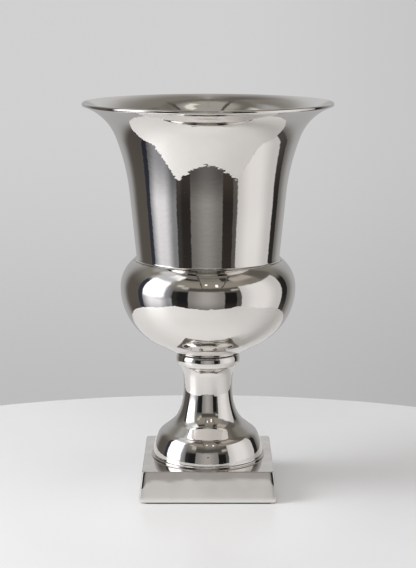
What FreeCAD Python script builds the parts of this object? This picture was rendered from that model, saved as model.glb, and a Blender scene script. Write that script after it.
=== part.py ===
import FreeCAD, Part
import math
import os

from FreeCAD import Vector

# Decorative urn: a flared bell on a round bowl, over a collar, a waisted pedestal and a square plinth.
# The castings are hollow, and one tie rod from the bowl's floor to the plinth's underside clamps them.
# Millimetres, +Z up, origin at the middle of the base on the surface that the urn stands on.

# Clearances that all pieces share
fit_gap = 0.3
rod_gap = 0.5
thread_gap = 0.1
overrun = 20.0

# Felt pads, glued into shallow seats in the plinth's four corners
pad_radius = 8.0
pad_thickness = 2.0
pad_seat_depth = 1.0
pad_inset = 14.0

# Plinth: a square hollow casting with bowed sides
plinth_half_width = 70.1
plinth_height = 31.7
plinth_draw_in = 3.6
plinth_bow = 0.11
plinth_corner_radius = 4.0
plinth_edge_radius = 1.0
plinth_wall = 5.0
plinth_plate = 5.0
plinth_cavity_corner = 8.0
plinth_post_rim = 3.5
register_height = 4.0
register_wall = 4.0

# Pedestal: foot ring, rounded foot, waisted stem and the cove under the collar
ring_radius = 58.9
ring_land = 2.1
ring_round = 0.8
ring_cove = 2.6
ring_cove_turn = 62.0
foot_lean = 4.5
foot_skirt_radius = 50.0
foot_skirt_turn = 20.5
foot_bulge_radius = 16.3
foot_bulge_turn = 27.0
foot_slope = 11.2
foot_sweep_radius = 27.0
foot_sweep_turn = 21.0
stem_lower_radius = 51.5
stem_upper_radius = 200.0
stem_upper_turn = 5.1
capital_radius = 18.0
capital_turn = 42.0
pedestal_wall = 4.0
pedestal_web = 8.0
pedestal_spigot_radius = 20.0
pedestal_spigot_height = 6.0

# Collar: a plain ring with a bowed band
collar_height = 10.6
collar_overhang = 0.2
collar_bow = 1.2
collar_edge_radius = 0.4

# Gasket between the collar and the bowl
gasket_thickness = 0.8
gasket_inset = 0.7
gasket_bore_radius = 14.0

# Bowl: a cone that runs into a round belly and a tighter shoulder
bowl_radius = 90.2
bowl_seat_overhang = 0.3
bowl_belly_radius = 64.0
bowl_belly_turn = 62.0
bowl_shoulder_radius = 36.3
bowl_shoulder_turn = 53.0
bowl_wall = 3.5
bowl_floor = 6.0
neck_land = 6.75
neck_depth = 13.0
neck_wall = 4.0
neck_ledge = 3.0
neck_ledge_thickness = 3.0

# Seal on the ledge inside the bowl's neck
neck_seal_thickness = 1.5

# Bell: a spigot in the bowl's neck, a leaning wall and a flare out to the rim
bell_flange_inset = 0.3
bell_flange_land = 0.5
bell_foot_radius = 1.9
bell_lean = 5.6
bell_wall_run = 64.2
bell_throat_radius = 228.0
bell_throat_turn = 15.2
bell_lip_radius = 53.7
bell_lip_turn = 50.9
bell_wall = 4.0
bell_rim_bow = 1.2
bell_spigot_wall = 3.4
bell_spigot_blend = 9.0

# Tie rod and the standard hardware on it
rod_radius = 5.0
rod_end = 3.0
rod_chamfer = 1.0
nut_across_flats = 17.0
nut_height = 8.0
cap_dome_radius = 8.0
cap_dome_land = 2.0
cap_bore_depth = 13.0
cap_bore_spare = 1.0
washer_radius = 15.0
washer_thickness = 2.0
seal_radius = 14.0
seal_thickness = 2.0
anchor_radius = 30.0
anchor_thickness = 4.0
anchor_chamfer = 0.8
lock_radius = 9.0
lock_thickness = 2.2
lock_slit = 1.4


def ahead(angle):
    """Unit step in the XZ plane at an angle in radians from +X."""
    return Vector(math.cos(angle), 0, math.sin(angle))


def run(length):
    """A straight move."""
    return {"length": length}


def bend(radius, degrees):
    """A round move, to the left where the angle is positive."""
    return {"radius": radius, "turn": math.radians(degrees)}


def follow(start, heading, moves, inset=0.0):
    """Edges, end point and end heading of a line of moves in the XZ plane, set off to its left."""
    angle = math.radians(heading)
    point = start + ahead(angle + math.pi / 2) * inset
    edges = []
    for move in moves:
        if "length" in move:
            end = point + ahead(angle) * move["length"]
            edges.append(Part.LineSegment(point, end).toShape())
        else:
            side = 1 if move["turn"] > 0 else -1
            radius = move["radius"] - side * inset
            quarter = side * math.pi / 2
            centre = point + ahead(angle + quarter) * radius
            middle = centre - ahead(angle + quarter + move["turn"] / 2) * radius
            angle += move["turn"]
            end = centre - ahead(angle + quarter) * radius
            edges.append(Part.Arc(point, middle, end).toShape())
        point = end
    return edges, point, math.degrees(angle)


def lines(*points):
    """Straight edges from each point to the next."""
    return [Part.LineSegment(a, b).toShape() for a, b in zip(points, points[1:])]


def at(radius, height):
    """A point of a turned outline."""
    return Vector(radius, 0, height)


def turned(edges):
    """Solid turned about the Z axis from a closed outline."""
    solid = Part.Face(Part.Wire(edges)).revolve(Vector(), Vector(0, 0, 1), 360)
    if solid.Volume < 0:
        solid.reverse()
    return solid


def disc(radius, bottom, top):
    """Plain cylinder between two heights."""
    return Part.makeCylinder(radius, top - bottom, Vector(0, 0, bottom))


def ring(outer, inner, bottom, top):
    """Plain ring between two heights."""
    return disc(outer, bottom, top).cut(disc(inner, bottom - overrun, top + overrun))


def filled_to_axis(edges):
    """Closed outline from an open line of edges and the axis."""
    first = edges[0].firstVertex(True).Point
    last = edges[-1].lastVertex(True).Point
    return edges + lines(last, at(0, last.z), at(0, first.z), first)


def hexagon(bottom, top, both_ends):
    """Hexagonal nut blank with its corners turned off at the top, or at both ends."""
    corner_radius = nut_across_flats / math.sqrt(3)
    flat_radius = nut_across_flats / 2
    chamfer = (corner_radius - flat_radius) * math.tan(math.radians(30))
    corners = [Vector(corner_radius, 0, bottom)]
    for step in range(1, 7):
        turn = math.radians(60 * step)
        corners.append(Vector(corner_radius * math.cos(turn), corner_radius * math.sin(turn), bottom))
    prism = Part.Face(Part.Wire(lines(*corners))).extrude(Vector(0, 0, top - bottom))
    foot = [at(corner_radius, bottom)]
    if both_ends:
        foot = [at(flat_radius, bottom), at(corner_radius, bottom + chamfer)]
    head = [at(corner_radius, top - chamfer), at(flat_radius, top)]
    outline = [at(0, bottom)] + foot + head + [at(0, top), at(0, bottom)]
    return prism.common(turned(lines(*outline)))


def rims(solid, least_radius, low, high):
    """Level round edges of a turned solid outside a radius and between two heights."""
    found = []
    for edge in solid.Edges:
        box = edge.BoundBox
        if box.ZLength < fit_gap and box.XMax > least_radius and low < box.ZMin < high:
            found.append(edge)
    return found


# Heights of the plinth and the hardware under it
plinth_bottom = pad_thickness - pad_seat_depth
plinth_top = plinth_bottom + plinth_height
plate_bottom = plinth_top - plinth_plate
anchor_bottom = plate_bottom - anchor_thickness
lock_bottom = anchor_bottom - lock_thickness
nut_bottom = lock_bottom - nut_height
rod_bottom = nut_bottom - rod_end
rod_hole_radius = rod_radius + rod_gap
nut_bore_radius = rod_radius + thread_gap

# Outline of the pedestal, from the foot ring up to the cove
ring_moves = [
    run(ring_land),
    bend(ring_round, ring_cove_turn),
    bend(ring_cove, foot_lean - ring_cove_turn),
]
stem_lean = foot_lean + foot_skirt_turn + foot_bulge_turn - foot_sweep_turn
foot_moves = [
    bend(foot_skirt_radius, foot_skirt_turn),
    bend(foot_bulge_radius, foot_bulge_turn),
    run(foot_slope),
    bend(foot_sweep_radius, -foot_sweep_turn),
    bend(stem_lower_radius, -stem_lean),
]
capital_moves = [
    bend(stem_upper_radius, -stem_upper_turn),
    bend(capital_radius, -capital_turn),
]
ring_edges, foot_start, foot_heading = follow(at(ring_radius, plinth_top), 90, ring_moves)
foot_edges, waist, waist_heading = follow(foot_start, foot_heading, foot_moves)
capital_edges, pedestal_end, capital_heading = follow(waist, waist_heading, capital_moves)
foot_lining_start = foot_start + ahead(math.radians(foot_heading + 90)) * pedestal_wall
foot_bore_radius = foot_lining_start.x
stem_bore_radius = waist.x - pedestal_wall
pedestal_top = pedestal_end.z

# Heights and radii of the collar, the gasket and the bowl's seat
collar_top = pedestal_top + collar_height
collar_edge = pedestal_end.x + collar_overhang
bowl_bottom = collar_top + gasket_thickness
bowl_seat_radius = collar_edge + bowl_seat_overhang
floor_top = bowl_bottom + bowl_floor
rod_seal_top = floor_top + seal_thickness
cap_bottom = rod_seal_top + washer_thickness
rod_top = cap_bottom + cap_bore_depth - cap_bore_spare

# Outline of the bowl, from its seat up to its lip
belly_heading = 90 - bowl_belly_turn
belly_reach = bowl_belly_radius * (1 - math.sin(math.radians(belly_heading)))
cone_run = (bowl_radius - belly_reach - bowl_seat_radius) / math.cos(math.radians(belly_heading))
bowl_moves = [
    run(cone_run),
    bend(bowl_belly_radius, bowl_belly_turn),
    bend(bowl_shoulder_radius, bowl_shoulder_turn),
]
bowl_start = at(bowl_seat_radius, bowl_bottom)
bowl_edges, bowl_lip, lip_heading = follow(bowl_start, belly_heading, bowl_moves)
neck_bore_radius = bowl_lip.x - neck_land
neck_bottom = bowl_lip.z - neck_depth

# Outline of the bell, from its flange up to its rim
bell_bottom = bowl_lip.z
bell_flange = at(bowl_lip.x - bell_flange_inset, bell_bottom + bell_flange_land)
bell_moves = [
    run(bell_wall_run),
    bend(bell_throat_radius, -bell_throat_turn),
    bend(bell_lip_radius, -bell_lip_turn),
]
bell_foot_moves = [bend(bell_foot_radius, -90 - bell_lean)]
bell_foot_edges, bell_start, bell_heading = follow(bell_flange, 180, bell_foot_moves)
bell_edges, bell_rim, rim_heading = follow(bell_start, bell_heading, bell_moves)
spigot_radius = neck_bore_radius - fit_gap
spigot_bore_radius = spigot_radius - bell_spigot_wall
spigot_bottom = neck_bottom + neck_seal_thickness


def make_bell():
    """Flared shell whose spigot drops into the bowl's neck."""
    lining_edges, lining_rim, lining_heading = follow(bell_start, bell_heading, bell_moves, bell_wall)
    lining_foot = lining_edges[0].firstVertex(True).Point
    rim_middle = (bell_rim + lining_rim) / 2 + ahead(math.radians(rim_heading)) * bell_rim_bow
    rim_edge = Part.Arc(bell_rim, rim_middle, lining_rim).toShape()
    blend = lining_foot + ahead(math.radians(bell_heading)) * bell_spigot_blend
    lining_wall = lines(lining_edges[0].lastVertex(True).Point, blend)
    foot = lines(
        blend,
        at(spigot_bore_radius, bell_bottom),
        at(spigot_bore_radius, spigot_bottom),
        at(spigot_radius, spigot_bottom),
        at(spigot_radius, bell_bottom),
        at(bell_flange.x, bell_bottom),
        bell_flange,
    )
    lining = [edge.reversed() for edge in reversed(lining_edges[1:])]
    return turned(bell_foot_edges + bell_edges + [rim_edge] + lining + lining_wall + foot)


def make_bowl():
    """Round shell with a flat floor for the rod and a thick neck for the bell's spigot."""
    body = turned(filled_to_axis(list(bowl_edges)))
    lining_edges, lining_lip, lining_heading = follow(bowl_start, belly_heading, bowl_moves, bowl_wall)
    hollow = turned(filled_to_axis(lining_edges))
    hollow = hollow.cut(disc(bowl_radius, bowl_bottom - overrun, floor_top))
    ledge_bottom = neck_bottom - neck_ledge_thickness
    neck_outer = neck_bore_radius + neck_wall
    neck_inner = neck_bore_radius - neck_ledge
    hollow = hollow.cut(ring(neck_outer, neck_inner, ledge_bottom, bowl_lip.z + overrun))
    mouth = disc(neck_bore_radius, neck_bottom, bowl_lip.z + overrun)
    throat = disc(neck_inner, neck_bottom, bowl_lip.z)
    rod_hole = disc(rod_hole_radius, bowl_bottom - overrun, floor_top + overrun)
    return body.cut(hollow).cut(mouth).cut(throat).cut(rod_hole)


def make_pedestal():
    """Hollow foot and stem, closed at the top by a web that guides the rod."""
    body = turned(filled_to_axis(ring_edges + foot_edges + capital_edges))
    lining_edges, lining_end, lining_heading = follow(foot_start, foot_heading, foot_moves, pedestal_wall)
    web_bottom = pedestal_top - pedestal_web
    skirt = lines(at(foot_bore_radius, plinth_top), foot_lining_start)
    stem = lines(lining_end, at(stem_bore_radius, web_bottom))
    hollow = turned(filled_to_axis(skirt + lining_edges + stem))
    spigot = disc(pedestal_spigot_radius, web_bottom, pedestal_top + pedestal_spigot_height)
    rod_hole = disc(rod_hole_radius, web_bottom - overrun, pedestal_top + overrun)
    return body.cut(hollow).fuse(spigot).cut(rod_hole).removeSplitter()


def make_collar():
    """Ring with a bowed band, on the pedestal's spigot."""
    bore = pedestal_spigot_radius + fit_gap
    low = at(collar_edge, pedestal_top)
    high = at(collar_edge, collar_top)
    middle = (low + high) / 2 + Vector(collar_bow, 0, 0)
    band = Part.Arc(low, middle, high).toShape()
    solid = turned([band] + lines(high, at(bore, collar_top), at(bore, pedestal_top), low))
    corners = rims(solid, (bore + collar_edge) / 2, pedestal_top - overrun, collar_top + overrun)
    return solid.makeFillet(collar_edge_radius, corners)


def make_gasket():
    """Thin washer that seals the bowl on the collar."""
    return ring(collar_edge - gasket_inset, gasket_bore_radius, collar_top, bowl_bottom)


def make_neck_seal():
    """Flat seal between the neck's ledge and the end of the bell's spigot."""
    return ring(spigot_radius, neck_bore_radius - neck_ledge + fit_gap, neck_bottom, spigot_bottom)


def plinth_side():
    """Prism with the two bowed sides of the plinth, long in Y."""
    half = plinth_half_width
    lean = math.atan(plinth_draw_in / plinth_height)
    sides = []
    for sign in (1, -1):
        low = Vector(sign * half, -half - overrun, plinth_bottom)
        high = low + Vector(-sign * plinth_draw_in, 0, plinth_height)
        bow = Vector(sign * math.cos(lean), 0, math.sin(lean)) * plinth_bow
        sides.append((low, (low + high) / 2 + bow, high))
    (low_a, middle_a, high_a), (low_b, middle_b, high_b) = sides
    outline = [
        Part.Arc(low_a, middle_a, high_a).toShape(),
        Part.LineSegment(high_a, high_b).toShape(),
        Part.Arc(high_b, middle_b, low_b).toShape(),
        Part.LineSegment(low_b, low_a).toShape(),
    ]
    return Part.Face(Part.Wire(outline)).extrude(Vector(0, 2 * (half + overrun), 0))


def pad_places():
    """Middles of the four pads, with the words for each corner."""
    offset = plinth_half_width - pad_inset
    for side, x in (("left", -offset), ("right", offset)):
        for end, y in (("front", -offset), ("rear", offset)):
            yield end + "_" + side, Vector(x, y, 0)


def make_plinth():
    """Square base, open underneath, with a post for each pad and a register for the pedestal."""
    side = plinth_side()
    across = side.copy()
    across.rotate(Vector(), Vector(0, 0, 1), 90)
    body = side.common(across).removeSplitter()
    corners = [edge for edge in body.Edges if edge.BoundBox.ZLength > plinth_height / 2]
    body = body.makeFillet(plinth_corner_radius, corners)
    rim = [edge for edge in body.Edges if edge.BoundBox.ZMin > plinth_top - fit_gap]
    body = body.makeFillet(plinth_edge_radius, rim)
    hollow_half = plinth_half_width - plinth_draw_in - plinth_wall
    hollow_height = plate_bottom - plinth_bottom + overrun
    hollow_corner = Vector(-hollow_half, -hollow_half, plinth_bottom - overrun)
    hollow = Part.makeBox(2 * hollow_half, 2 * hollow_half, hollow_height, hollow_corner)
    uprights = [edge for edge in hollow.Edges if edge.BoundBox.ZLength > hollow_height / 2]
    hollow = hollow.makeFillet(plinth_cavity_corner, uprights)
    post_radius = pad_radius + fit_gap + plinth_post_rim
    for corner, place in pad_places():
        post = disc(post_radius, plinth_bottom - overrun, plate_bottom + overrun)
        hollow = hollow.cut(post.translated(place))
    body = body.cut(hollow)
    for corner, place in pad_places():
        seat = disc(pad_radius + fit_gap, plinth_bottom - overrun, pad_thickness)
        body = body.cut(seat.translated(place))
    register_radius = foot_bore_radius - fit_gap
    register_top = plinth_top + register_height
    register = ring(register_radius, register_radius - register_wall, plate_bottom, register_top)
    rod_hole = disc(rod_hole_radius, plate_bottom - overrun, plinth_top + overrun)
    return body.fuse(register).cut(rod_hole).removeSplitter()


def make_tie_rod():
    """Round rod with chamfered ends, from under the bottom nut to inside the cap nut."""
    inner = rod_radius - rod_chamfer
    outline = lines(
        at(0, rod_bottom),
        at(inner, rod_bottom),
        at(rod_radius, rod_bottom + rod_chamfer),
        at(rod_radius, rod_top - rod_chamfer),
        at(inner, rod_top),
        at(0, rod_top),
        at(0, rod_bottom),
    )
    return turned(outline)


def make_cap_nut():
    """Domed nut that closes the rod's upper end."""
    hex_top = cap_bottom + nut_height
    dome_start = hex_top + cap_dome_land
    dome = disc(cap_dome_radius, cap_bottom, dome_start)
    ball = Part.makeSphere(cap_dome_radius, Vector(0, 0, dome_start))
    bore = disc(nut_bore_radius, cap_bottom - overrun, cap_bottom + cap_bore_depth)
    return hexagon(cap_bottom, hex_top, False).fuse(dome).fuse(ball).cut(bore).removeSplitter()


def make_cap_washer():
    """Flat washer under the cap nut."""
    return ring(washer_radius, rod_hole_radius, rod_seal_top, cap_bottom)


def make_rod_seal():
    """Soft washer that keeps water out of the rod's hole."""
    return ring(seal_radius, rod_radius + thread_gap, floor_top, rod_seal_top)


def make_anchor_plate():
    """Round plate that spreads the rod's pull over the plinth's underside."""
    solid = ring(anchor_radius, rod_hole_radius, anchor_bottom, plate_bottom)
    middle = (anchor_bottom + plate_bottom) / 2
    return solid.makeChamfer(anchor_chamfer, rims(solid, anchor_radius / 2, anchor_bottom - overrun, middle))


def make_lock_washer():
    """Split spring washer."""
    solid = ring(lock_radius, rod_hole_radius, lock_bottom, anchor_bottom)
    slit_low = Vector(0, -lock_slit / 2, lock_bottom - overrun)
    slit = Part.makeBox(lock_radius + overrun, lock_slit, lock_thickness + 2 * overrun, slit_low)
    return solid.cut(slit)


def make_bottom_nut():
    """Plain hexagon nut under the plinth."""
    bore = disc(nut_bore_radius, nut_bottom - overrun, lock_bottom + overrun)
    return hexagon(nut_bottom, lock_bottom, True).cut(bore)


def make_pad(place):
    """Felt disc in its seat."""
    return disc(pad_radius, 0, pad_thickness).translated(place)


pieces = {
    "bell": make_bell(),
    "neck_seal": make_neck_seal(),
    "bowl": make_bowl(),
    "bowl_gasket": make_gasket(),
    "collar": make_collar(),
    "pedestal": make_pedestal(),
    "plinth": make_plinth(),
    "tie_rod": make_tie_rod(),
    "cap_nut": make_cap_nut(),
    "cap_washer": make_cap_washer(),
    "rod_seal": make_rod_seal(),
    "anchor_plate": make_anchor_plate(),
    "lock_washer": make_lock_washer(),
    "bottom_nut": make_bottom_nut(),
}
for corner, place in pad_places():
    pieces["felt_pad_" + corner] = make_pad(place)

os.makedirs("parts", exist_ok=True)
for name, shape in pieces.items():
    shape.exportStep("parts/" + name + ".step")
    box = shape.optimalBoundingBox()
    print(name, "solids", len(shape.Solids), "valid", shape.isValid(), "volume", round(shape.Volume, 1),
          "x", round(box.XMax, 2), "z", round(box.ZMin, 2), round(box.ZMax, 2))
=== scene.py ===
import math

import bpy
from mathutils import Matrix, Vector


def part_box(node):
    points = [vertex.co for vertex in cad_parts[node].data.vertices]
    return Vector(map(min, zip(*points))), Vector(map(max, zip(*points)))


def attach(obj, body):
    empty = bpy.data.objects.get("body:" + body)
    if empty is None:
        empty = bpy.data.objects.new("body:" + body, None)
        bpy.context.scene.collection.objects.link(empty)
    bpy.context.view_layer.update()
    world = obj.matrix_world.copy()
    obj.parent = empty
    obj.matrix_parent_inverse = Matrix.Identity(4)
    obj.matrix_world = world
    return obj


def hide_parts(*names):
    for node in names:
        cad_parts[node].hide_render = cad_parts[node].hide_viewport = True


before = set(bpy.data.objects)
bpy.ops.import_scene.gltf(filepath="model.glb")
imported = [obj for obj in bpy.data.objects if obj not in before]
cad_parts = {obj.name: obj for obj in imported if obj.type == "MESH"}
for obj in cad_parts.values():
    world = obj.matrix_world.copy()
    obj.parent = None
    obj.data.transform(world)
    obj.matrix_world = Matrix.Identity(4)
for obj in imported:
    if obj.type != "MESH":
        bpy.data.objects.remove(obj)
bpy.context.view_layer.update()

# A polished cast urn on a pale table. Its outlines are in millimetres, its finishes and stage in metres.
MM = 0.001

# Pedestal: foot ring, rounded foot, waisted stem and the cove under the collar
PEDESTAL_RING_RADIUS = 59.3
RING_LAND = 1.0
RING_ROUND = 0.6
RING_COVE = 2.0
RING_COVE_TURN = 62.0
FOOT_LEAN = 4.5
FOOT_SKIRT_RADIUS = 50.0
FOOT_SKIRT_TURN = 20.5
FOOT_SKIRT_RUN = 1.9411
FOOT_BULGE_RADIUS = 16.3
FOOT_BULGE_TURN = 27.0
FOOT_SLOPE = 11.2
FOOT_SWEEP_RADIUS = 27.0
FOOT_SWEEP_TURN = 21.0
STEM_LOWER_RADIUS = 51.5
STEM_UPPER_RADIUS = 200.0
STEM_UPPER_TURN = 5.1
STEM_FULLNESS = 0.45
STEM_FULL_BELOW_WAIST = 7.5
STEM_FULL_REACH = 10.0
CAPITAL_RADIUS = 18.0
CAPITAL_TURN = 42.0
PEDESTAL_WALL = 4.0
PEDESTAL_WEB = 8.0
PEDESTAL_SPIGOT_RADIUS = 20.0

# Collar between the pedestal and the bowl
COLLAR_BOW = 1.2
COLLAR_EDGE = 0.4

# Bowl, with the neck that holds the bell
BOWL_BELLY_RADIUS = 64.0
BOWL_BELLY_TURN = 62.0
BOWL_SHOULDER_RADIUS = 36.3
BOWL_SHOULDER_TURN = 53.0
BOWL_SEAT_OVERHANG = 0.3
BOWL_WALL = 3.5
BOWL_FLOOR = 6.0
NECK_LAND = 6.75
NECK_DEPTH = 13.0
NECK_WALL = 4.0
NECK_LEDGE = 3.0

# Bell, with the spigot that sits in the bowl's neck
BELL_FLANGE_INSET = 0.3
BELL_FLANGE_LAND = 0.5
BELL_FOOT_RADIUS = 1.9
BELL_LEAN = 5.6
BELL_WALL_RUN = 64.2
BELL_THROAT_RADIUS = 228.0
BELL_THROAT_TURN = 15.2
BELL_LIP_RADIUS = 53.7
BELL_LIP_TURN = 50.9
BELL_WALL = 4.0
BELL_RIM_BOW = 1.2
BELL_SPIGOT_WALL = 3.4
BELL_SPIGOT_BLEND = 9.0
FIT_GAP = 0.3

# Plinth: each corner is two slow bends with a tight one between them
PLINTH_DRAW_IN = 3.9
PLINTH_BOW = 0.11
PLINTH_SLOW_CORNER = (12.0, 20.0)
PLINTH_TIGHT_CORNER = (1.5, 50.0)
PLINTH_EDGE = 1.0
PLINTH_FOOT_EDGE = 0.2
PLINTH_ROLL_RADIUS = 11.0
PLINTH_ROLL_TURN = 26.0
PLINTH_WALL = 5.0
PLINTH_PLATE = 5.0
PLINTH_POST_RADIUS = 11.8
PLINTH_SIDE_STEPS = 24
HOLLOW_CORNER_SCALE = 1.5
HOLLOW_CORE_RADIUS = 3.0
CUT_SPARE = 1.0
REGISTER_HEIGHT = 4.0
REGISTER_WALL = 4.0
PAD_SEAT_RADIUS = 8.3
PAD_SEAT_TOP = 2.0

# Tie rod and its hardware, seals and pads
ROD_HOLE_RADIUS = 5.5
THREAD_PITCH = 1.5
THREAD_DEPTH = 0.9
THREAD_ROWS = 8
NUT_FLATS = 17.0
NUT_HEIGHT = 8.0
NUT_BORE_RADIUS = 5.1
NUT_CHAMFER = 30.0
CAP_DOME_RADIUS = 8.0
CAP_DOME_LAND = 2.0
CAP_BORE_DEPTH = 13.0
WASHER_EDGE = 0.25
PLATE_EDGE = 0.7
SEAL_EDGE = 0.3
FELT_EDGE = 0.6

# How closely an outline is followed, so that a mirror finish shows no facets
OUTLINE_STEP = 1.2
OUTLINE_TURN = 1.25
STRAIGHT_STEP = 4 * OUTLINE_STEP
ROUGH_TURN = 5.0
LEAST_STEP = 1e-4
CASTING_COLUMNS = 256
HARDWARE_COLUMNS = 96
ROD_COLUMNS = 32

# Turned pieces, in metres: a limit that cuts nothing, the seam's gap, the least crease and ripples
NO_LIMIT = 1.0
SEAM_GAP = 1e-6
CREASE = math.radians(30)
RIPPLE_CHARACTER = {"Detail": 1.0, "Roughness": 0.4}
TURNED_VALUES = {
    "Flats": NO_LIMIT,
    "Thread Radius": NO_LIMIT,
    "Thread Pitch": THREAD_PITCH * MM,
    "Thread Depth": 0.0,
    "Ripple": 0.0,
    "Ripple Size": 1.0,
    "Seed": 0.0,
    "Crease": CREASE,
}
FELT_RIPPLE = {"Ripple": 0.00012, "Ripple Size": 0.0012}


class Wire:
    """A node's output that plain arithmetic can use."""

    def __init__(self, nodes, socket):
        self.nodes = nodes
        self.socket = socket

    def math(self, operation, *others):
        inputs = dict(enumerate((self, *others)))
        return self.nodes.add("ShaderNodeMath", {"operation": operation}, inputs)

    def __add__(self, other):
        return self.math("ADD", other)

    __radd__ = __add__

    def __sub__(self, other):
        return self.math("SUBTRACT", other)

    def __mul__(self, other):
        return self.math("MULTIPLY", other)

    def __truediv__(self, other):
        return self.math("DIVIDE", other)

    def __rtruediv__(self, other):
        return self.nodes.add("ShaderNodeMath", {"operation": "DIVIDE"}, {0: other, 1: self})

    def __mod__(self, other):
        return self.math("FLOORED_MODULO", other)


class Nodes:
    """One node tree and the single way in which nodes are added to it."""

    def __init__(self, tree):
        self.tree = tree

    def add(self, kind, settings=None, inputs=None, output=0):
        node = self.tree.nodes.new(kind)
        for name, value in (settings or {}).items():
            setattr(node, name, value)
        for key, value in (inputs or {}).items():
            if isinstance(value, Wire):
                self.tree.links.new(value.socket, node.inputs[key])
            else:
                node.inputs[key].default_value = value
        return Wire(self, node.outputs[output]) if len(node.outputs) else node

    def part(self, wire, output):
        """Another output of the node that a wire comes from."""
        return Wire(self, wire.socket.node.outputs[output])

    def mix(self, factor, first, second):
        """Colour between two colours."""
        inputs = {"Factor": factor, 6: first, 7: second}
        return self.add("ShaderNodeMix", {"data_type": "RGBA"}, inputs, 2)

    def fade(self, value, start, end):
        """Smooth step from 0 at start to 1 at end."""
        inputs = {"Value": value, "From Min": start, "From Max": end}
        return self.add("ShaderNodeMapRange", {"interpolation_type": "SMOOTHSTEP"}, inputs)

    def noise(self, place, size, detail=3.0, roughness=0.5):
        """Cloudy noise, about half everywhere, whose lumps have a size in metres."""
        inputs = {"Vector": place, "Scale": 1 / size, "Detail": detail, "Roughness": roughness}
        return self.add("ShaderNodeTexNoise", None, inputs)

    def scaled(self, vector, factors):
        """Vector stretched along each axis."""
        return self.add("ShaderNodeVectorMath", {"operation": "MULTIPLY"}, {0: vector, 1: factors})

    def distance(self, place, spot):
        """Distance of a place from a spot."""
        return self.add("ShaderNodeVectorMath", {"operation": "DISTANCE"}, {0: place, 1: spot}, "Value")

    def axes(self, vector):
        """The X, Y and Z of a vector."""
        split = self.add("ShaderNodeSeparateXYZ", None, {"Vector": vector})
        return split, self.part(split, "Y"), self.part(split, "Z")

    def within(self, value, limits, soft):
        """1 between two limits and 0 outside them, with soft sides."""
        low, high = limits
        return self.fade(value, low - soft, low + soft) * self.fade(value, high + soft, high - soft)

    def bump(self, height, depth, under=None):
        """Normal of a relief whose full height is a depth in metres."""
        inputs = {"Height": height, "Distance": depth, "Strength": 1.0}
        if under:
            inputs["Normal"] = under
        return self.add("ShaderNodeBump", None, inputs)


def run(length):
    """A straight move along an outline."""
    return (length, 0.0)


def bend(radius, degrees):
    """A round move along an outline, to the left where the angle is positive."""
    return (radius, math.radians(degrees))


def ahead(angle):
    """Unit step across (radius, height) at an angle from the radius."""
    return Vector((math.cos(angle), math.sin(angle)))


def trace(start, heading, moves, inset=0.0, turn_step=OUTLINE_TURN):
    """Points along an outline's moves, set off to its left, with the last point and heading."""
    angle = math.radians(heading)
    quarter = math.pi / 2
    point = Vector(start) + ahead(angle + quarter) * inset
    points = [point]
    for size, turn in moves:
        if turn:
            side = math.copysign(1.0, turn)
            radius = size - side * inset
            centre = point + ahead(angle + side * quarter) * radius
            by_turn = abs(math.degrees(turn)) / turn_step
            steps = math.ceil(max(by_turn, radius * abs(turn) / OUTLINE_STEP))
            for step in range(1, steps + 1):
                here = angle + turn * step / steps
                points.append(centre - ahead(here + side * quarter) * radius)
            angle += turn
        else:
            steps = math.ceil(size / OUTLINE_STEP)
            points += [point + ahead(angle) * size * step / steps for step in range(1, steps + 1)]
        point = points[-1]
    return points, point, math.degrees(angle)


def straight(*corners):
    """Points along straight lines from corner to corner."""
    points = []
    for first, last in zip(corners, corners[1:]):
        first, last = Vector(first), Vector(last)
        steps = max(1, math.ceil((last - first).length / STRAIGHT_STEP))
        points += [first.lerp(last, step / steps) for step in range(steps)]
    return points + [Vector(corners[-1])]


def joined(*stretches):
    """One outline from stretches of points, with no point twice in a row."""
    outline = []
    for point in (p for stretch in stretches for p in stretch):
        if not outline or (point - outline[-1]).length > LEAST_STEP:
            outline.append(point)
    if (outline[0] - outline[-1]).length < LEAST_STEP:
        outline.pop()
    return outline


def bow(chord, rise):
    """Radius and half turn, in degrees, of an arc over a chord."""
    half = chord / 2
    radius = (half**2 + rise**2) / (2 * rise)
    return radius, math.degrees(math.asin(half / radius))


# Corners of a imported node's box, in millimetres
def low_mm(node):
    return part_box(node)[0] / MM


def high_mm(node):
    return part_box(node)[1] / MM


def rounded_rim(node, edge):
    """Points up the rim of a packed disc, round its lower and upper edges."""
    low, high = low_mm(node), high_mm(node)
    moves = [bend(edge, 90), run(high.z - low.z - 2 * edge), bend(edge, 90)]
    return trace(((high.x - low.x) / 2 - edge, low.z), 0, moves, turn_step=ROUGH_TURN)[0]


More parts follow.
